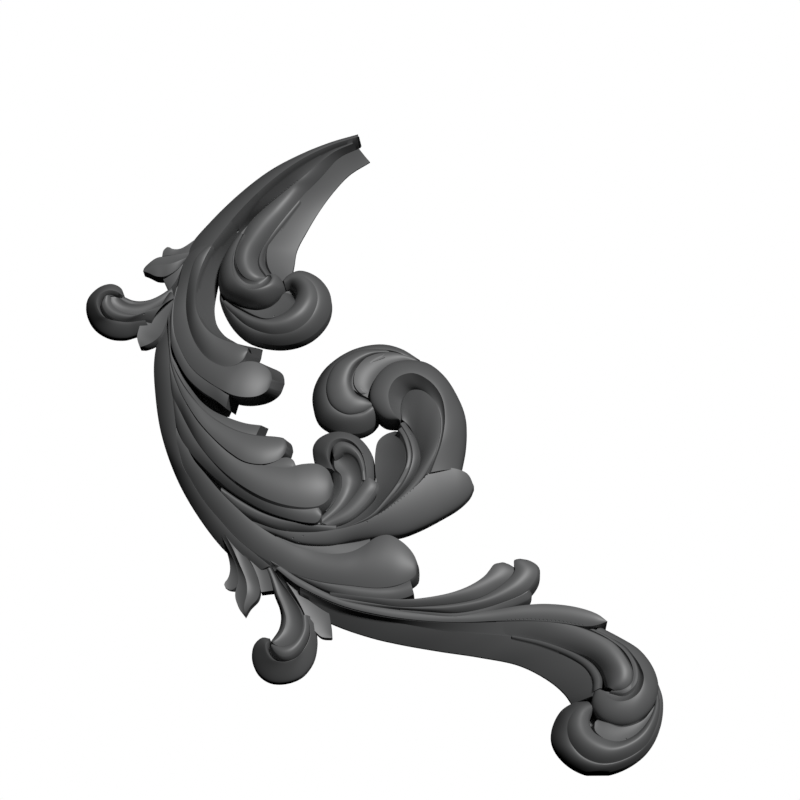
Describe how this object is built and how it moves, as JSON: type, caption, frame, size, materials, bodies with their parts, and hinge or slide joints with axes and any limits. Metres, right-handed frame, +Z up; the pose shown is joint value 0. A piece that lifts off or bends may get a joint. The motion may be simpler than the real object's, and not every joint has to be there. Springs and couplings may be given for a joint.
{
  "type": "decorative onlay",
  "caption": "Carved acanthus scroll onlay with a flat back: a leafy crescent, curled volutes and small sprigs, one end broken off.",
  "frame": {"origin": "centre of the fixing area on the flat back, behind the broadest part of the body", "axes": "+Z up along the onlay's height, +X to the right as seen from the front, +Y out of the flat back into the wall; the relief rises towards -Y"},
  "size_m": [0.2546, 0.0216, 0.2996],
  "materials": {
    "charcoal_resin": "satin charcoal-grey cast resin"
  },
  "bodies": {
    "root": {"acanthus_scroll": "charcoal_resin"}
  },
  "joints": []
}
